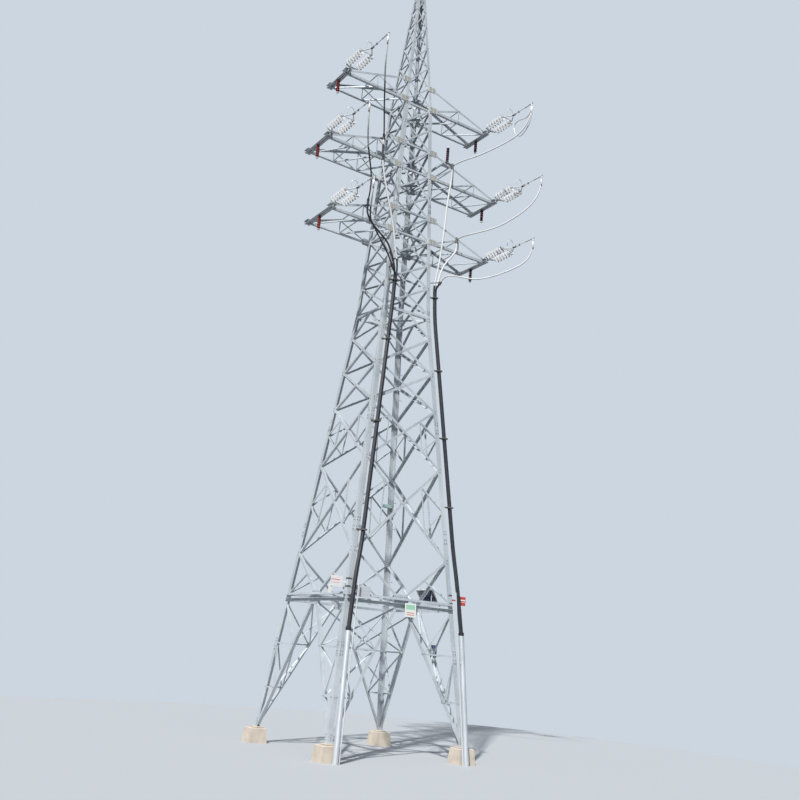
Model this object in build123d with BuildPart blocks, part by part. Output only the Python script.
from build123d import *
from math import atan2, cos, degrees, pi, radians, sin, sqrt, tan
import os

os.makedirs("parts", exist_ok=True)

# Terminal lattice tower for six phases, two circuits of three arms each.
# Units are millimetres. Z is up and the ground is z = 0, under the tower's axis.
# The arms run along Y and the line leaves towards +X.

# Levels of the arms' lower and upper chords, and half the width over the tips
arm_levels = {"low": (17010, 17900), "mid": (19560, 20560), "top": (22310, 23210)}
arm_reach = {"low": 3200, "mid": 3550, "top": 3055}
arm_panels = {"low": 2, "mid": 3, "top": 2}
hands = {"right": 1, "left": -1}

# Levels and half widths of the body, the cage that carries the arms, and the peak
ground_to_steel = 450
base_half = 2350
waist_level = 4520
splay_level = 5940
body_levels = [splay_level, 8860, 10830, 12120, 13370]
bend_level = 14220
bend_half = 928
cage_levels = [14290, 15240, 16100, *arm_levels["low"], 18730, *arm_levels["mid"], 21435, 22240]
peak_base = arm_levels["top"][0]
peak_base_half = 569
peak_levels = [22390, arm_levels["top"][1], 24070, 24940, 25830, 26520, 27200]
peak_top = 27750
peak_top_half = 109
body_slope = (base_half - bend_half) / (bend_level - ground_to_steel)
cage_slope = (bend_half - peak_base_half) / (peak_base - bend_level)
peak_slope = (peak_base_half - peak_top_half) / (peak_top - peak_base)

# Angles, each by its flange's width and thickness: the legs, then the bracing
body_leg = (160, 14)
cage_leg = (140, 12)
peak_leg = (90, 8)
heavy = (100, 9)
main = (80, 7)
light = (63, 6)
slim = (45, 5)
chord = (90, 8)
upper_chord = (75, 7)
plate_thick = 10

# Distance of the bolt lines from the legs' heels, and the gap between faces that touch
bolt_gauge = 90
cage_gauge = 80
rail_gauge = 115
peak_gauge = 48
touch = 0.3

# Footings
footing_top = 520
footing_bottom = 600
footing_inset = 30
footing_chamfer = 20

# Leg extensions: bars at two rises above the foot, diagonals to the waist's middle
extension_rises = (1250, 2620)
foot_rise = 130
middle_gap = 70
middle_drop = 110
hip_drop = 60
top_bar_drop = 200

# Waist frame
waist_twin = 180
waist_end = 20
waist_plate = (520, 460)
diamond_inset = 12
plate_cut_share = 0.18

# Body and cage sides
strut_rise = 120
bend_rail_drop = 60
vee_gap = 30
plan_plate = (155, 235)
plan_lap = 20
plan_bar_end = 120

# Peak cap and the plate for the earth wire, by (x, rise over the legs' ends) pairs
cap_overhang = 30
cap_thick = 14
earth_plate = [(-120, 14), (260, 14), (300, 60), (300, 110), (200, 130), (-120, 130)]
earth_plate_thick = 16
earth_wire_hole = (250, 88, 13)

# Crossarms
tip_overhang = 130
tip_rise = 20
tip_depth = 70
beam_gap = 28
root_clear = 16
head_clear = 36
panel_end = 60
arm_plate = (380, 240)
arm_plate_shift = (60, 20)
cover_plate = (300, 240)
plan_drop = 40
plan_inset = 20
cross_rise = 10

# Tension strings, measured along +X from the end of a tip beam
hanger = (-100, 70, 84)
link_radius = 16
pin_radius = 14
link_start, link_end = 30, 130
yoke_start, yoke_length, yoke_thick = 120, 90, 16
yoke_tip, yoke_side = 90, 40
pin_start = 200
column_start = 290
column_spacing = 400
disc_pitch = 146
discs_per_column = 6
disc_outline = [(0, 14), (0, 40), (60, 46), (98, 127), (106, 127), (84, 14)]
column_end = column_start + discs_per_column * disc_pitch
far_pin = 70
far_yoke_start, far_yoke_length = column_end + 60, 110
far_link_start, far_link_length = column_end + 150, 130
turnbuckle_start, turnbuckle_length, turnbuckle_radius = column_end + 250, 160, 36
clamp_start = column_end + 400
clamp_end = 2550
clamp_nose = 60
clamp_radius = 28
bore_radius = 14.5
bore_depth = 80
lug_drop = 150

# Surge arresters, hanging from the middles of the tip beams
strap = (90, 60)
arrester_length = 470
arrester_core = 32
arrester_foot = (44, 36)
arrester_sheds = (6, 64, 50, 68)
shed_slopes = (14, 26)

# Jumpers
jumper_radius = 25
lug_run = 290
jumper_routes = {
    ("top", "left"): [(3110, -2982, 21380), (2890, -2840, 21110), (2600, -2640, 20910),
                      (2270, -2430, 20760), (1900, -2190, 20640), (1490, -1922, 20530),
                      (1140, -1690, 20445), (840, -1500, 20362)],
    ("mid", "left"): [(3240, -3450, 18720), (2990, -3280, 18480), (2700, -3060, 18340),
                      (2370, -2810, 18240), (2020, -2540, 18160), (1650, -2280, 18040),
                      (1270, -2060, 17872), (900, -1898, 17715)],
    ("low", "left"): [(3330, -3130, 16300), (3080, -3000, 16190), (2750, -2810, 16160),
                      (2400, -2570, 16170), (2050, -2230, 16160), (1740, -1850, 16080),
                      (1450, -1470, 15950), (1284, -1146, 15775), (1167, -932, 15570)],
    ("top", "right"): [(3060, 2940, 21370), (2780, 2780, 21090), (2460, 2550, 20880),
                       (2130, 2290, 20690), (1800, 2030, 20520), (1480, 1790, 20410),
                       (1140, 1610, 20360), (840, 1530, 20316)],
    ("mid", "right"): [(3290, 3400, 18640), (3080, 3160, 18240), (2790, 2880, 17930),
                       (2470, 2610, 17690), (2140, 2340, 17540), (1800, 2090, 17470),
                       (1460, 1920, 17446), (1160, 1850, 17450), (920, 1873, 17462)],
    ("low", "right"): [(3370, 3040, 16150), (3110, 2730, 15880), (2800, 2400, 15680),
                       (2470, 2110, 15550), (2140, 1820, 15510), (1850, 1550, 15590),
                       (1610, 1350, 15670), (1400, 1210, 15690), (1260, 1149, 15630),
                       (1154, 1123, 15513)],
}

# Cable heads: a socket on an upright body on the arms, a clamp at the head of each leg
socket_radius = 36
head_body = (46, 60, 150)
body_offset = 60
head_plate_half = 6
head_plate_ends = (-90, 10)
chord_lap = 30
head_clamp = (50, 120)
clamp_plate_roots = {"left": (50, 5), "right": (-80, -20)}
clamp_plate_tips = {"left": (10, 20), "right": (20, 20)}

# Insulated cables, three to a bundle, clamped down a front leg to a pipe at its foot.
# A bundle's place is its distance outside the leg's heel along X and Y at each level.
cable_radius = 32
bundle_turns = {
    "left": {"top": (0, 38), "mid": (-33, -19), "low": (33, -19)},
    "right": {"top": (-33, -19), "mid": (0, 38), "low": (33, -19)},
}
bundle_levels = {
    "left": [(15300, 100, 250), (bend_level, 100, 248), (6080, 100, 235), (5300, 165, 140), (3640, 165, 125)],
    "right": [(15100, 0, 200), (bend_level, 0, 202), (6300, 0, 200), (5300, 80, 195), (3800, 100, 185)],
}
first_run = {
    ("top", "left"): 410, ("mid", "left"): 310, ("low", "left"): 300,
    ("top", "right"): 410, ("mid", "right"): 310, ("low", "right"): 240,
}
cable_routes = {
    ("top", "left"): [(800, -1400, 19200), (840, -1240, 18500), (890, -1050, 17800),
                      (925, -820, 16950), (955, -690, 16200)],
    ("mid", "left"): [(875, -1650, 16900), (910, -1330, 16650), (940, -1020, 16400),
                      (965, -800, 15950)],
    ("low", "left"): [],
    ("top", "right"): [(800, 1420, 19000), (830, 1350, 18300), (860, 1300, 17600),
                       (865, 1240, 16800), (860, 1150, 16000)],
    ("mid", "right"): [(868, 1680, 16700), (875, 1450, 16400), (882, 1280, 16050),
                       (900, 1185, 15650)],
    ("low", "right"): [],
}
cable_joins = {
    ("top", "left"): [15700], ("mid", "left"): [15500], ("low", "left"): [],
    ("top", "right"): [15400], ("mid", "right"): [15300], ("low", "right"): [],
}

# Clamps of the bundles, pipes down to the ground, and the rods beside the pipes
clamp_levels = {"left": (15100, 12912, 10019, 6500), "right": (14950, 12300, 9960, 7673)}
clamp_half = 86
clamp_height = 50
clamp_hole = 72.5
clamp_foot = 60
clamp_web = (70, 54)
pipe_radius = 80
pipe_wall = 5
pipe_feet = {"left": (2760, -2264), "right": (2760, 2184)}
pipe_neck = 60
pipe_cap = (86, 80)
ground_trim = 40
rod_feet = {"left": (2760, -2144), "right": (2760, 2062)}
rod_steps = {"left": (60, 105), "right": (60, -120)}
rod_radius = 20
rod_head = 5000
rod_ties = (900, 2900)
tie_radius = 8

# Platform on the right middle arm, and the cable termination that stands on it
platform_level = 20417
platform_bars = (1290, 1620)
platform_reach = 700
platform_lug = 12
deck_length = 360
deck_lap = 40
termination_place = (500, 1455)
termination_height = 700
termination_base = (70, 60)
termination_core = 36
termination_cap = (48, 60)
termination_sheds = (8, 60, 90, 68)

# Signs and plates, each by its place across its side, its level, width and height
sign_thick = 3
middle_sign = (289, 4310, 404, 410)
front_plate = (-1398, 4700, 484, 330)
leg_signs = {"right": (4780, 310, 435, 340, 276), "left": (4925, 250, 330, 400, 320)}
sign_bar = (8, 40)
sign_back = 96

# Solar panel on two posts over the waist of the right-hand side, and the boxes near it
panel_size = (970, 470, 30)
panel_tilt = 57
panel_foot = (343, 2150, 4722)
post_size = (40, 8)
post_spacing = 600
post_height = 405
post_foot_rise = 65.6
diagonal_box = (-815, 3190, 180, 390, 120)
leg_box = (-1370, 7950, 340, 120, 110)

# Corners in turn from the front one: b front, c right, d back, a left
corners_in_turn = ("b", "c", "d", "a")
# Sides as the turn of their outward normal from +X
sides = {"bc": 0, "cd": 90, "da": 180, "ab": 270}


def half_width(z):
    """Half of the body's width over the legs' heels at a height."""
    if z <= bend_level:
        return base_half - body_slope * (z - ground_to_steel)
    if z <= peak_base:
        return bend_half - cage_slope * (z - bend_level)
    return peak_base_half - peak_slope * (z - peak_base)


def slope_at(z):
    if z <= bend_level:
        return body_slope
    return cage_slope if z <= peak_base else peak_slope


def side_plane(turn, z, inset):
    """Plane along one side of the tower, set in from the legs' outer faces."""
    slope = slope_at(z + 1)
    normal = Vector(1, 0, slope).rotate(Axis.Z, turn)
    origin = Vector(half_width(z) - inset, 0, z).rotate(Axis.Z, turn)
    return Plane(origin=origin, x_dir=Vector(0, 1, 0).rotate(Axis.Z, turn), z_dir=normal)


def on_side(plane, across, z):
    """Point on a side's plane from its distance across and its height."""
    return plane.from_local_coords((across, (z - plane.origin.Z) / plane.y_dir.Z, 0))


def outlined(plane, outline):
    """Flat face inside an outline of straight edges."""
    with BuildSketch(plane) as face:
        with BuildLine():
            Polyline(*outline, close=True)
        make_face()
    return face.sketch


def angle_bar(start, end, outward, size):
    """Equal angle with one flange flat against a face and the other standing behind it."""
    width, thick = size
    start, end = Vector(start), Vector(end)
    axis = end - start
    section = outlined(
        Plane(origin=start, x_dir=axis.cross(Vector(outward)), z_dir=axis),
        [
            (-width / 2, 0),
            (width / 2, 0),
            (width / 2, width),
            (width / 2 - thick, width),
            (width / 2 - thick, thick),
            (-width / 2, thick),
        ],
    )
    return extrude(section, amount=axis.length, mode=Mode.PRIVATE)


def rod(start, end, radius):
    start, end = Vector(start), Vector(end)
    with BuildSketch(Plane(origin=start, z_dir=end - start)) as section:
        Circle(radius)
    extrude(section.sketch, amount=(end - start).length)


def gusset(plane, across, z, size, thick):
    """Plate with cut corners on a side's plane, growing outward from it."""
    centre = on_side(plane, across, z)
    with BuildSketch(Plane(origin=centre, x_dir=plane.x_dir, z_dir=plane.z_dir)) as plate:
        Rectangle(*size)
        chamfer(plate.vertices(), min(size) * plate_cut_share)
    return extrude(plate.sketch, amount=thick, mode=Mode.PRIVATE)


def leg_length(signs, low, high, size):
    """One length of a leg: an angle with its heel outward, sheared along the taper."""
    width, thick = size
    sx, sy = signs
    low_half, high_half = half_width(low + 1e-6), half_width(high)
    lean = Vector(sx * (high_half - low_half), sy * (high_half - low_half), high - low)
    section = outlined(
        Plane.XY.offset(low),
        [
            (sx * low_half, sy * low_half),
            (sx * (low_half - width), sy * low_half),
            (sx * (low_half - width), sy * (low_half - thick)),
            (sx * (low_half - thick), sy * (low_half - thick)),
            (sx * (low_half - thick), sy * (low_half - width)),
            (sx * low_half, sy * (low_half - width)),
        ],
    )
    extrude(section, amount=lean.length, dir=lean)


def turned(outline):
    """Solid turned about Z from an outline of (radius, height) pairs."""
    revolve(outlined(Plane.XZ, outline), axis=Axis.Z)


def sheds(core, count, radius, start, pitch, direction):
    """Outline of a row of sheds on a core, up for direction 1 and down for -1."""
    outline = []
    for index in range(count):
        z = start + index * pitch
        outline += [(core, direction * z), (radius, direction * (z + shed_slopes[0]))]
        outline.append((core, direction * (z + shed_slopes[1])))
    return outline


def save(shape, name):
    shape.label = name
    export_step(shape, f"parts/{name}.step")


# Concrete footings
footing_taper = degrees(atan2((footing_bottom - footing_top) / 2, ground_to_steel))
with BuildPart() as footing:
    with BuildSketch():
        with Locations((base_half - footing_inset, footing_inset - base_half)):
            Rectangle(footing_bottom, footing_bottom)
    extrude(amount=ground_to_steel, taper=footing_taper)
    chamfer(footing.faces().sort_by(Axis.Z)[-1].edges(), footing_chamfer)

# A leg has three lengths, spliced at the bend and at the top arm
with BuildPart() as leg:
    leg_length((1, -1), ground_to_steel, bend_level, body_leg)
    leg_length((1, -1), bend_level, peak_base, cage_leg)
    leg_length((1, -1), peak_base, peak_top, peak_leg)

# Leg extension: two main diagonals run from the foot to the middle of the waist, tied
# to the leg by short bars and to each other by crossed hip bars
extension_levels = [ground_to_steel + rise for rise in extension_rises]
foot_level = ground_to_steel + foot_rise
diagonal_top = waist_level - middle_drop


def diagonal_across(z):
    """Distance of a main diagonal from the middle of its side at a height."""
    foot = half_width(foot_level) - bolt_gauge
    share = (z - foot_level) / (waist_level - foot_level)
    return foot + share * (middle_gap - foot)


def extension_bars():
    """Angles of one leg extension, the one under leg b."""
    bars = []
    low, high = extension_levels
    for side_turn, hand in ((0, -1), (-90, 1)):
        plane = side_plane(side_turn, ground_to_steel, body_leg[1])

        def diagonal_point(z):
            return on_side(plane, hand * diagonal_across(z), z)

        def leg_point(z):
            return on_side(plane, hand * (half_width(z) - bolt_gauge), z)

        bars.append(angle_bar(leg_point(foot_level), diagonal_point(diagonal_top), plane.z_dir, heavy))
        for start, end in ((low, low), (high, high)):
            bars.append(angle_bar(leg_point(start), diagonal_point(end), plane.z_dir, slim))
        bars.append(angle_bar(diagonal_point(low), leg_point(high), plane.z_dir, slim))
        top_bar = leg_point(waist_level - top_bar_drop)
        bars.append(angle_bar(diagonal_point(high), top_bar, plane.z_dir, slim))
    left = side_plane(0, ground_to_steel, body_leg[1] + main[0] / 2)
    right = side_plane(-90, ground_to_steel, body_leg[1] + main[0] / 2)
    hip_levels = extension_levels + [diagonal_top - hip_drop]
    for low, high in zip(hip_levels, hip_levels[1:]):
        for one, other, sign in ((left, right, -1), (right, left, 1)):
            start = on_side(one, sign * diagonal_across(low), low)
            end = on_side(other, -sign * diagonal_across(high), high)
            bars.append(angle_bar(start, end, (1, -1, 0), slim))
    return bars


with BuildPart() as extension:
    add(extension_bars())

for index, name in enumerate(corners_in_turn):
    turn = 90 * index
    save(footing.part.rotate(Axis.Z, turn), f"footing_{name}")
    save(leg.part.rotate(Axis.Z, turn), f"leg_{name}")
    save(extension.part.rotate(Axis.Z, turn), f"leg_extension_{name}")

# Waist frame: twin horizontals on the legs' outer faces, plates at the middles and a
# diamond of plan bars inside
with BuildPart() as waist:
    bars = []
    for turn in sides.values():
        plane = side_plane(turn, ground_to_steel, 0)
        for rise in (-waist_twin / 2, waist_twin / 2):
            level = waist_level + rise
            reach = half_width(level) - waist_end
            ends = [on_side(plane, -reach, level), on_side(plane, reach, level)]
            if rise > 0:
                ends.reverse()
            bars.append(angle_bar(*ends, plane.z_dir * -1, main))
        back = side_plane(turn, ground_to_steel, body_leg[1])
        bars.append(gusset(back, 0, waist_level, waist_plate, body_leg[1]))
        corner_reach = half_width(waist_level) - body_leg[1] - diamond_inset
        corner = Vector(corner_reach, 0, waist_level).rotate(Axis.Z, turn)
        bars.append(angle_bar(corner, corner.rotate(Axis.Z, 90), (0, 0, -1), slim))
    add(bars)
save(waist.part, "waist_frame")


def crossed_panel(plane, low, high, size, gauge=bolt_gauge):
    """Two diagonals crossing between the legs from one level to the next."""
    foot = half_width(low) - gauge
    head = half_width(high) - gauge
    return [
        angle_bar(on_side(plane, hand * foot, low), on_side(plane, -hand * head, high), plane.z_dir, size)
        for hand in (-1, 1)
    ]


def panel_struts(plane, low, high, size):
    """Short bars that hold the crossed diagonals at their quarter points from each leg."""
    foot = half_width(low) - bolt_gauge
    head = half_width(high) - bolt_gauge
    crossing = low + (high - low) * foot / (foot + head)
    bars = []
    for hand in (-1, 1):
        middle = on_side(plane, hand * (half_width(crossing) - bolt_gauge), crossing)
        lower = on_side(plane, hand * foot / 2, low + (crossing - low) / 2)
        upper = on_side(plane, hand * head / 2, high - (high - crossing) / 2)
        for start, end in ((lower, middle), (upper, middle), (lower, upper)):
            bars.append(angle_bar(start, end, plane.z_dir, size))
    return bars


# Body side, from the waist up to the bend
with BuildPart() as body_side:
    plane = side_plane(0, ground_to_steel, body_leg[1])
    outward = plane.z_dir
    bars = []
    head = half_width(splay_level) - bolt_gauge
    for hand in (-1, 1):
        middle = on_side(plane, hand * middle_gap, waist_level + middle_drop)
        bars.append(angle_bar(middle, on_side(plane, hand * head, splay_level), outward, main))
        leg_end = on_side(plane, hand * (half_width(waist_level) - bolt_gauge), waist_level + strut_rise)
        half_way = on_side(plane, hand * (head + middle_gap) / 2, (splay_level + waist_level) / 2)
        bars.append(angle_bar(leg_end, half_way, outward, slim))
    for low, high in zip(body_levels, body_levels[1:]):
        bars += crossed_panel(plane, low, high, main)
    for low, high in zip(body_levels[:2], body_levels[1:3]):
        bars += panel_struts(plane, low, high, slim)
    rail_level = bend_level - bend_rail_drop
    reach = half_width(bend_level) - bolt_gauge
    rail_ends = on_side(plane, -reach, rail_level), on_side(plane, reach, rail_level)
    bars.append(angle_bar(*rail_ends, outward, main))
    foot = half_width(body_levels[-1]) - bolt_gauge
    for hand in (-1, 1):
        leg_end = on_side(plane, hand * foot, body_levels[-1])
        bars.append(angle_bar(leg_end, on_side(plane, hand * vee_gap, rail_level), outward, light))
    add(bars)

# Cage side, from the bend up to the top arm, with a rail at each arm's chords
rail_levels = [*arm_levels["low"], *arm_levels["mid"], cage_levels[-1]]
with BuildPart() as cage_side:
    plane = side_plane(0, bend_level, cage_leg[1])
    bars = []
    for low, high in zip(cage_levels, cage_levels[1:]):
        bars += crossed_panel(plane, low, high, light, cage_gauge)
    for level in rail_levels:
        reach = half_width(level) - rail_gauge
        start, end = on_side(plane, -reach, level), on_side(plane, reach, level)
        bars.append(angle_bar(start, end, plane.z_dir, light))
    add(bars)

for name, turn in sides.items():
    save(body_side.part.rotate(Axis.Z, turn), f"body_side_{name}")
    save(cage_side.part.rotate(Axis.Z, turn), f"cage_side_{name}")

# Plan bars inside the body, under the side rails: crossed bars on corner plates at the
# bend, and a diamond between the middles of the rails at each higher level
with BuildPart() as plan_bars:
    heel = half_width(rail_level)
    base = Vector(0, 0, rail_level - main[0] / 2 - slope_at(rail_level) * main[0] - touch - light[1])
    near, inner = heel - plan_plate[0], heel - plan_plate[1]
    outer = heel - body_leg[1] - main[0] + plan_lap
    corner = outlined(Plane.XY.offset(base.Z), [(outer, inner), (outer, near), (near, outer), (inner, outer)])
    bars = []
    for turn in sides.values():
        plate = corner.rotate(Axis.Z, turn)
        bars.append(extrude(plate, amount=light[1], dir=(0, 0, 1), mode=Mode.PRIVATE))
    for turn in (45, 135):
        along = Vector((heel - plan_bar_end) * sqrt(2), 0, 0).rotate(Axis.Z, turn)
        bars.append(angle_bar(base - along, base + along, (0, 0, 1), light))
    for level in (arm_levels["low"][0], arm_levels["mid"][0], cage_levels[-1]):
        underside = level - light[0] / 2 - cage_slope * light[0] - touch
        middle = Vector(half_width(level) - cage_leg[1] - light[0] + plan_lap, 0, underside)
        for turn in sides.values():
            start = middle.rotate(Axis.Z, turn)
            bars.append(angle_bar(start, start.rotate(Axis.Z, 90), (0, 0, 1), light))
    add(bars)
save(plan_bars.part, "plan_bars")

# Peak bracing and its cap, which carries the earth wire's shackle plate
with BuildPart() as peak:
    bars = []
    for turn in sides.values():
        plane = side_plane(turn, peak_base, peak_leg[1])
        for low, high in zip(peak_levels, peak_levels[1:]):
            bars += crossed_panel(plane, low, high, slim, peak_gauge)
    add(bars)
    with BuildSketch(Plane.XY.offset(peak_top)):
        Rectangle(2 * (peak_top_half + cap_overhang), 2 * (peak_top_half + cap_overhang))
    extrude(amount=cap_thick)
    with BuildSketch(Plane.XZ.offset(-earth_plate_thick / 2)):
        with BuildLine():
            Polyline(*[(x, peak_top + rise) for x, rise in earth_plate], close=True)
        make_face()
        with Locations((earth_wire_hole[0], peak_top + earth_wire_hole[1])):
            Circle(earth_wire_hole[2], mode=Mode.SUBTRACT)
    extrude(amount=earth_plate_thick)
save(peak.part, "peak_bracing")


def upper_chord_share(level_name, y):
    """Share of an upper chord's length from the body at a distance from the axis."""
    start = half_width(arm_levels[level_name][1]) + head_clear
    return (y - start) / (arm_reach[level_name] - start)


def upper_chord_point(level_name, share):
    """Place of an upper chord (x, y, z) at a share of its length from the body."""
    low, high = arm_levels[level_name]
    start = half_width(high) + head_clear
    x = half_width(high) + (half_width(low) - half_width(high)) * share
    return x, start + (arm_reach[level_name] - start) * share, high - (high - low - tip_depth) * share


def crossarm_bars(level_name, hand):
    """Angles and plates of one arm, on the side of +Y for hand 1 and of -Y for -1."""
    low, high = arm_levels[level_name]
    reach = arm_reach[level_name]
    root_half = half_width(low)
    root_y = root_half + root_clear
    shares = [index / arm_panels[level_name] for index in range(1, arm_panels[level_name])]
    bars = []

    def upper(share, sx):
        x, y, z = upper_chord_point(level_name, share)
        return Vector(sx * x, hand * y, z)

    def lower(y, sx):
        return Vector(sx * root_half, hand * y, low)

    for sx in (-1, 1):
        face = Vector(sx, 0, 0)
        lower_ends = [lower(root_y, sx), lower(reach, sx)]
        upper_ends = [upper(1, sx), upper(0, sx)]
        if sx * hand < 0:
            lower_ends.reverse()
            upper_ends.reverse()
        bars.append(angle_bar(*lower_ends, face, chord))
        bars.append(angle_bar(*upper_ends, face, upper_chord))
        back = root_y + panel_end
        for share in shares:
            top_point = upper(share, sx)
            bars.append(angle_bar(lower(abs(top_point.Y), sx), top_point, face, slim))
            bars.append(angle_bar(lower(back, sx), top_point, face, slim))
            back = abs(top_point.Y)
        for level, rise in ((low, arm_plate_shift[1]), (high, -arm_plate_shift[1])):
            plane = side_plane(0 if sx > 0 else 180, level - 1, 0)
            across = sx * hand * (half_width(level) + arm_plate_shift[0])
            bars.append(gusset(plane, across, level + rise, arm_plate, plate_thick))

    # One diagonal to a bay in the bottom plane, and cross bars at the panel points
    stations = [root_y + panel_end]
    stations += [upper_chord_point(level_name, share)[1] for share in shares]
    stations.append(reach - panel_end)
    inner = root_half - plan_inset
    down = Vector(0, 0, -1)
    for near, far in zip(stations, stations[1:]):
        start = (-hand * inner, hand * near, low - plan_drop)
        bars.append(angle_bar(start, (hand * inner, hand * far, low - plan_drop), down, slim))
    for share in shares:
        x, y, z = upper_chord_point(level_name, share)
        cross_level = low + cross_rise
        bars.append(angle_bar((-inner, hand * y, cross_level), (inner, hand * y, cross_level), down, slim))
        bars.append(angle_bar((cross_rise - x, hand * y, z), (x - cross_rise, hand * y, z), down, slim))

    # Two angles back to back across the tip, with a cover plate over each end
    beam = root_half + tip_overhang
    for back in (-1, 1):
        y = hand * reach + back * beam_gap / 2
        ends = [(-beam, y, low + tip_rise), (beam, y, low + tip_rise)]
        if back < 0:
            ends.reverse()
        bars.append(angle_bar(*ends, (0, -back, 0), chord))
    with BuildSketch(Plane.XY.offset(low + tip_rise + chord[0] / 2)) as cover:
        with Locations((-root_half, hand * reach), (root_half, hand * reach)):
            Rectangle(*cover_plate)
    bars.append(extrude(cover.sketch, amount=plate_thick, mode=Mode.PRIVATE))
    return bars


for hand_name, hand in hands.items():
    for level_name in arm_levels:
        with BuildPart() as arm:
            add(crossarm_bars(level_name, hand))
        save(arm.part, f"crossarm_{level_name}_{hand_name}")


def bar_along_x(start, length, radius):
    """Round bar along +X on the string's axis."""
    rod((start, 0, 0), (start + length, 0, 0), radius)


def yoke(start, length, start_width, end_width):
    """Plate that spreads one link to the two columns."""
    outline = [
        (start, -start_width / 2),
        (start, start_width / 2),
        (start + length, end_width / 2),
        (start + length, -end_width / 2),
    ]
    extrude(outlined(Plane.XY.offset(-yoke_thick / 2), outline), amount=yoke_thick)


# Tension string set: a hanger plate, a link, two columns of cap and pin discs between
# two yoke plates, and the line's end clamp. A column is turned from one outline.
column_outline = [(pin_start, 0), (pin_start, pin_radius)]
for index in range(discs_per_column):
    start = column_start + index * disc_pitch
    column_outline += [(start + along, radius) for along, radius in disc_outline]
column_outline += [(column_end + far_pin, pin_radius), (column_end + far_pin, 0)]
axis_y = column_spacing / 2
yoke_width = column_spacing + 2 * yoke_side

with BuildPart() as string_set:
    revolve(
        outlined(Plane.XY, [(x, axis_y + radius) for x, radius in column_outline]),
        axis=Axis((0, axis_y, 0), (1, 0, 0)),
    )
    mirror(about=Plane.XZ)
    with BuildSketch(Plane.XZ.offset(-beam_gap / 2)):
        with Locations(((hanger[0] + hanger[1]) / 2, 0)):
            Rectangle(hanger[1] - hanger[0], hanger[2])
    extrude(amount=beam_gap)
    bar_along_x(link_start, link_end - link_start, link_radius)
    yoke(yoke_start, yoke_length, yoke_tip, yoke_width)
    yoke(far_yoke_start, far_yoke_length, yoke_width, yoke_tip)
    bar_along_x(far_link_start, far_link_length, link_radius)
    bar_along_x(turnbuckle_start, turnbuckle_length, turnbuckle_radius)
    bar_along_x(clamp_start, clamp_end + clamp_nose - clamp_start, clamp_radius)
    rod((clamp_end, 0, 0), (clamp_end, 0, -lug_drop), clamp_radius)
    with BuildSketch(Plane.YZ.offset(clamp_end + clamp_nose - bore_depth)):
        Circle(bore_radius)
    extrude(amount=bore_depth, mode=Mode.SUBTRACT)

# Surge arrester: a strap between the tip beam's angles, and a turned body
strap_width, strap_length = strap
foot_radius, foot_height = arrester_foot
shed_count, shed_radius, shed_start, shed_pitch = arrester_sheds
arrester_end = strap_length + arrester_length
with BuildPart() as arrester:
    with BuildSketch():
        Rectangle(strap_width, beam_gap)
    extrude(amount=-strap_length)
    outline = [(0, -strap_length), (arrester_core, -strap_length)]
    outline += sheds(arrester_core, shed_count, shed_radius, strap_length + shed_start, shed_pitch, -1)
    outline += [(arrester_core, -arrester_end), (foot_radius, -arrester_end)]
    outline += [(foot_radius, -arrester_end - foot_height), (0, -arrester_end - foot_height)]
    turned(outline)

for hand_name, hand in hands.items():
    hung = []
    for level_name, (low, high) in arm_levels.items():
        tip = (0, hand * arm_reach[level_name], low + tip_rise)
        beam_end = (half_width(low) + tip_overhang, tip[1], tip[2])
        save(string_set.part.moved(Location(beam_end)), f"tension_string_{level_name}_{hand_name}")
        hung.append(arrester.part.moved(Location(tip)))
    save(Compound(children=hung), f"surge_arresters_{hand_name}")


def turn_radii(points):
    """Radius at each corner of a route, as large as its two runs allow."""
    radii = []
    points = [Vector(point) for point in points]
    for before, corner, after in zip(points, points[1:], points[2:]):
        turn = (corner - before).get_angle(after - corner)
        shorter = min((corner - before).length, (after - corner).length)
        radii.append(0.45 * shorter / tan(radians(turn / 2)))
    return radii


def tube(points, radius):
    """Tube along straight runs joined by tangent arcs."""
    radii = turn_radii(points)
    with BuildLine() as route:
        FilletPolyline(*points, radius=radii)
    with BuildSketch(Plane(origin=route.line @ 0, z_dir=route.line % 0)) as section:
        Circle(radius)
    sweep(section.sketch, path=route.line)
    return radii, sum(edge.length for edge in route.line.edges())


# Free jumpers, each from a line clamp's lug to a cable clamp. The first run hangs
# straight down; the last meets the cable clamp.
for (level_name, hand_name), route in jumper_routes.items():
    low = arm_levels[level_name][0]
    lug_x = half_width(low) + tip_overhang + clamp_end
    lug = Vector(lug_x, hands[hand_name] * arm_reach[level_name], low + tip_rise - lug_drop)
    with BuildPart() as jumper:
        radii, length = tube([lug, lug - Vector(0, 0, lug_run), *route], jumper_radius)
    print("jumper", level_name, hand_name, round(length), [round(value) for value in radii])
    print("   volume over section times length", jumper.part.volume / (pi * jumper_radius**2 * length))
    save(jumper.part, f"jumper_{level_name}_{hand_name}")


def route_end(level_name, hand_name):
    """End of a jumper and the direction in which it arrives."""
    before, end = [Vector(point) for point in jumper_routes[(level_name, hand_name)][-2:]]
    return end, (end - before).normalized()


def upright_plate(y, outline):
    """Plate standing along the tower's X and Z, from an outline of (x, z) pairs."""
    extrude(outlined(Plane.XZ.offset(-y - head_plate_half), outline), amount=2 * head_plate_half)


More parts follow.
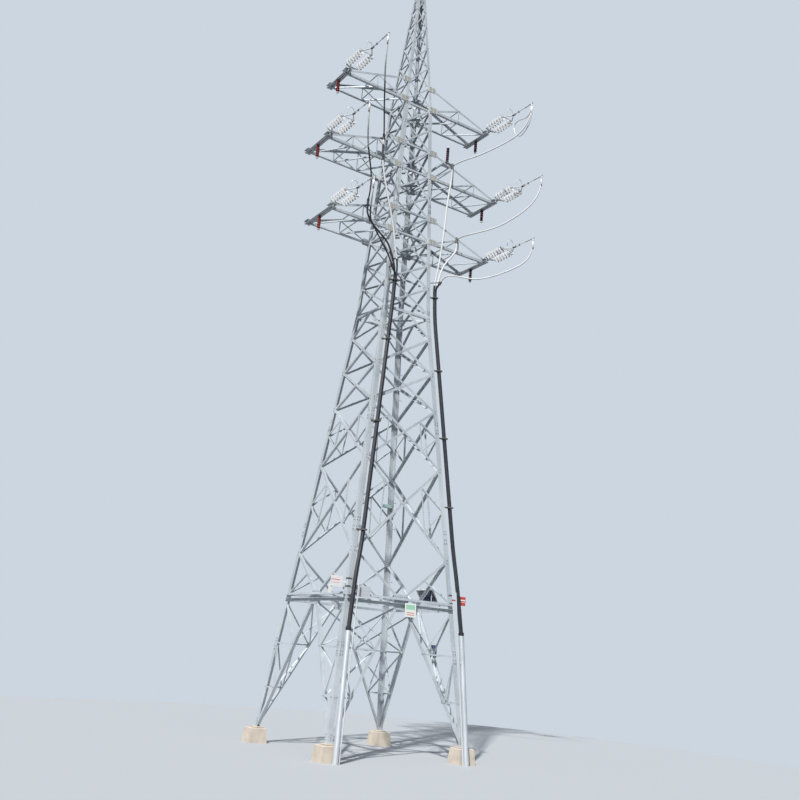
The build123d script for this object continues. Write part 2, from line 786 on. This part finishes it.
def cable_head(level_name, hand_name, arm_name):
    """Head on an arm. Returns the place where its cable leaves and the way it goes."""
    end, direction = route_end(level_name, hand_name)
    centre = end + direction * body_offset
    radius, above, below = head_body
    rod(end, centre, socket_radius)
    rod(centre - Vector(0, 0, below), centre + Vector(0, 0, above), radius)
    chord_x, chord_y, chord_z = upper_chord_point(arm_name, upper_chord_share(arm_name, abs(centre.Y)))
    outline = [
        (chord_x + touch, chord_z - chord_lap),
        (centre.X, centre.Z + head_plate_ends[0]),
        (centre.X, centre.Z + head_plate_ends[1]),
        (chord_x + touch, chord_z + chord_lap),
    ]
    upright_plate(centre.Y, outline)
    return centre - Vector(0, 0, below), Vector(0, 0, -1)


def low_clamp(hand_name):
    """Clamp at the head of a leg. Returns the place where its cable leaves and the way."""
    end, direction = route_end("low", hand_name)
    radius, length = head_clamp
    rod(end, end + direction * length, radius)
    near = end + direction * length / 4
    heel = half_width(near.Z - head_plate_half) + touch
    one, other = clamp_plate_roots[hand_name]
    half_x, half_y = clamp_plate_tips[hand_name]
    if hand_name == "left":
        roots = [(heel, one - heel), (heel, other - heel)]
        tips = [(near.X - half_x, near.Y - half_y), (near.X + half_x, near.Y + half_y)]
    else:
        roots = [(heel + one, heel), (heel + other, heel)]
        tips = [(near.X + half_x, near.Y - half_y), (near.X - half_x, near.Y + half_y)]
    plate = outlined(Plane.XY.offset(near.Z - head_plate_half), roots + tips)
    extrude(plate, amount=2 * head_plate_half)
    return end + direction * length, direction


# Cable heads. Those on the arms are a socket for the jumper on an upright body, which a
# plate holds off the arm's upper chord; the lowest is a clamp in line with the jumper.
cable_starts = {}
for hand_name in hands:
    with BuildPart() as heads:
        cable_starts[("top", hand_name)] = cable_head("top", hand_name, "mid")
        cable_starts[("mid", hand_name)] = cable_head("mid", hand_name, "low")
        cable_starts[("low", hand_name)] = low_clamp(hand_name)
    save(heads.part, f"cable_heads_{hand_name}")


def bundle_place(hand_name, z):
    """Centre of a bundle at a height, straight between its given levels."""
    levels = bundle_levels[hand_name]
    for upper, lower in zip(levels, levels[1:]):
        if z >= lower[0]:
            break
    share = (z - lower[0]) / (upper[0] - lower[0])
    ahead = lower[1] + share * (upper[1] - lower[1])
    beside = lower[2] + share * (upper[2] - lower[2])
    heel = half_width(z)
    y = heel + beside if hand_name == "right" else beside - heel
    return Vector(heel + ahead, y, z)


def bundle_end(hand_name):
    """End of a bundle at its pipe's cap and the direction in which it enters."""
    upper, lower = [level for level, _, _ in bundle_levels[hand_name][-2:]]
    end = bundle_place(hand_name, lower)
    return end, (end - bundle_place(hand_name, upper)).normalized()


for hand_name in hands:
    cables = []
    end, lean = bundle_end(hand_name)
    for level_name in arm_levels:
        key = (level_name, hand_name)
        shift = Vector(*bundle_turns[hand_name][level_name], 0)
        start, direction = cable_starts[key]
        levels = cable_joins[key] + [level for level, _, _ in bundle_levels[hand_name][1:-1]]
        points = [start, start + direction * first_run[key]]
        points += [Vector(point) for point in cable_routes[key]]
        points += [bundle_place(hand_name, level) + shift for level in levels]
        points.append(end + shift - lean * shift.dot(lean))
        with BuildPart() as cable:
            radii, length = tube(points, cable_radius)
        print("cable", level_name, hand_name, round(length), [round(value) for value in radii])
        cables.append(cable.part)
    save(Compound(children=cables), f"cables_{hand_name}")


def pipe_axis(hand_name):
    """Foot of a pipe's axis on the ground and the axis's upward direction."""
    head, lean = bundle_end(hand_name)
    foot = Vector(*pipe_feet[hand_name], 0)
    return foot, (head + lean * pipe_neck - foot).normalized()


# Pipes that take the bundles down to the ground, each with a cap round its cables
for hand_name in hands:
    head, lean = bundle_end(hand_name)
    foot, axis = pipe_axis(hand_name)
    below = foot - axis * ground_trim
    with BuildPart() as pipe:
        with BuildSketch(Plane(origin=below, z_dir=axis)) as ring:
            Circle(pipe_radius)
            Circle(pipe_radius - pipe_wall, mode=Mode.SUBTRACT)
        extrude(ring.sketch, amount=(head + lean * pipe_neck - below).length)
        split(bisect_by=Plane.XY, keep=Keep.TOP)
        rod(head + lean * pipe_cap[1], head, pipe_cap[0])
    save(pipe.part, f"cable_pipe_{hand_name}")

# Clamps that hold the bundles to the legs' outer faces
for hand_name in hands:
    with BuildPart() as clamps:
        for level in clamp_levels[hand_name]:
            centre = bundle_place(hand_name, level)
            heel = half_width(level)
            lean = bundle_place(hand_name, level + clamp_height) - centre
            if hand_name == "left":
                back = centre.X - clamp_half + 1
                foot = heel + touch
                web = [(foot, clamp_foot - heel), (foot, centre.Y), (back, centre.Y), (back, clamp_foot - heel)]
            else:
                near, far = heel - clamp_web[0], heel - clamp_web[1]
                foot = heel + touch
                web = [(near, foot), (far, foot), (far, centre.Y), (near, centre.Y)]
            with BuildSketch(Plane.XY.offset(level)) as band:
                with Locations((centre.X, centre.Y)):
                    Rectangle(2 * clamp_half, 2 * clamp_half)
                with BuildLine():
                    Polyline(*web, close=True)
                make_face()
                with Locations((centre.X, centre.Y)):
                    Circle(clamp_hole, mode=Mode.SUBTRACT)
            extrude(band.sketch, amount=lean.length, dir=lean)
    save(clamps.part, f"cable_clamps_{hand_name}")

# Rods beside the pipes, each tied to its pipe by short pins square to the pipe
for hand_name in hands:
    rod_foot = Vector(*rod_feet[hand_name], 0)
    rod_top = bundle_place(hand_name, rod_head) + Vector(*rod_steps[hand_name], 0)
    rod_axis = (rod_top - rod_foot).normalized()
    foot, axis = pipe_axis(hand_name)
    with BuildPart() as side_rod:
        rod(rod_foot - rod_axis * ground_trim, rod_top, rod_radius)
        split(bisect_by=Plane.XY, keep=Keep.TOP)
        for level in rod_ties:
            start = rod_foot + rod_axis * (level / rod_axis.Z)
            step = foot + axis * (start - foot).dot(axis) - start
            rod(start, start + step * (1 - (pipe_radius + touch) / step.length), tie_radius)
    save(side_rod.part, f"side_rod_{hand_name}")

# Platform with a deck plate, on lugs outside the arm's upper chords
deck_level = platform_level + light[1]
near_bar, far_bar = platform_bars
down = (0, 0, -1)
with BuildPart() as platform:
    near_ends = (platform_reach, near_bar, platform_level), (-platform_reach, near_bar, platform_level)
    far_ends = (-platform_reach, far_bar, platform_level), (platform_reach, far_bar, platform_level)
    add([angle_bar(*near_ends, down, light), angle_bar(*far_ends, down, light)])
    with BuildSketch(Plane.XY.offset(deck_level)) as deck:
        with Locations((termination_place[0], (near_bar + far_bar) / 2)):
            Rectangle(deck_length, far_bar - near_bar + deck_lap)
    extrude(deck.sketch, amount=plate_thick)
    for y in platform_bars:
        chord_x, chord_y, chord_z = upper_chord_point("mid", upper_chord_share("mid", y))
        top, bottom = platform_level + light[1] / 2, chord_z + platform_lug
        for sx in (-1, 1):
            inner, outer = sx * (chord_x + touch), sx * (chord_x + platform_lug)
            upright_plate(y, [(inner, bottom), (inner, top), (outer, top), (outer, bottom)])
save(platform.part, "termination_platform")

# Cable termination, turned from one outline
base_radius, base_height = termination_base
cap_radius, cap_height = termination_cap
cap_start = termination_height - cap_height
shed_count, shed_radius, shed_start, shed_pitch = termination_sheds
with BuildPart() as termination:
    outline = [(0, 0), (base_radius, 0), (base_radius, base_height), (termination_core, base_height)]
    outline += sheds(termination_core, shed_count, shed_radius, shed_start, shed_pitch, 1)
    outline += [(termination_core, cap_start), (cap_radius, cap_start)]
    outline += [(cap_radius, termination_height), (0, termination_height)]
    turned(outline)
place = Location((*termination_place, deck_level + plate_thick))
save(termination.part.moved(place), "cable_termination")


def plate_on(plane, across, z, width, height, thick):
    """Plain plate or box on a side's plane, growing outward from it."""
    with BuildSketch(Plane(origin=on_side(plane, across, z), x_dir=plane.x_dir, z_dir=plane.z_dir)) as plate:
        Rectangle(width, height)
    extrude(plate.sketch, amount=thick)


# Signs on the waist's front rails, and one on a bar out from each front leg
front = side_plane(0, ground_to_steel, -main[0] * sqrt(1 + body_slope**2) - touch)
for name, size in (("sign_middle", middle_sign), ("plate_front", front_plate)):
    with BuildPart() as sign:
        plate_on(front, *size, sign_thick)
    save(sign.part, name)

with BuildPart() as leg_sign:
    bar_thick, bar_height = sign_bar
    for hand_name, (level, reach, centre, width, height) in leg_signs.items():
        hand = hands[hand_name]
        heel = half_width(level)
        bar_x = heel - sign_back - bar_thick / 2
        root = half_width(level - bar_height / 2) + touch
        with BuildSketch(Plane.XY.offset(level - bar_height / 2)) as bar:
            with Locations((bar_x, hand * (root + reach))):
                Rectangle(bar_thick, 2 * reach)
        extrude(bar.sketch, amount=bar_height)
        with BuildSketch(Plane.YZ.offset(heel - sign_back)) as sheet:
            with Locations((hand * (heel + centre), level)):
                Rectangle(width, height)
        extrude(sheet.sketch, amount=sign_thick)
save(leg_sign.part, "sign_leg")

# Solar panel, tilted up and outward
with BuildPart() as panel:
    lean = radians(panel_tilt)
    face = Plane(origin=panel_foot, x_dir=(1, 0, 0), z_dir=(0, sin(lean), cos(lean)))
    with BuildSketch(face) as sheet:
        with Locations((0, -panel_size[1] / 2)):
            Rectangle(panel_size[0], panel_size[1])
    extrude(sheet.sketch, amount=panel_size[2])
    post_foot = waist_level + post_foot_rise
    post_y = half_width(post_foot) + main[0] - post_size[1] / 2
    for sx in (-1, 1):
        with BuildSketch(Plane.XY.offset(post_foot)) as post:
            with Locations((panel_foot[0] + sx * post_spacing / 2, post_y)):
                Rectangle(*post_size)
        extrude(post.sketch, amount=post_height)
save(panel.part, "solar_panel")

# Boxes: one on the outside of a main diagonal, one inside the back leg's flange
with BuildPart() as boxes:
    outer_face = side_plane(sides["cd"], ground_to_steel, body_leg[1] - touch)
    plate_on(outer_face, *diagonal_box)
    across, level, width, height, depth = leg_box
    inset = body_leg[1] + depth * sqrt(1 + body_slope**2) + touch
    inner_face = side_plane(sides["da"], ground_to_steel, inset)
    plate_on(inner_face, across, level, width, height, depth)
save(boxes.part, "device_boxes")
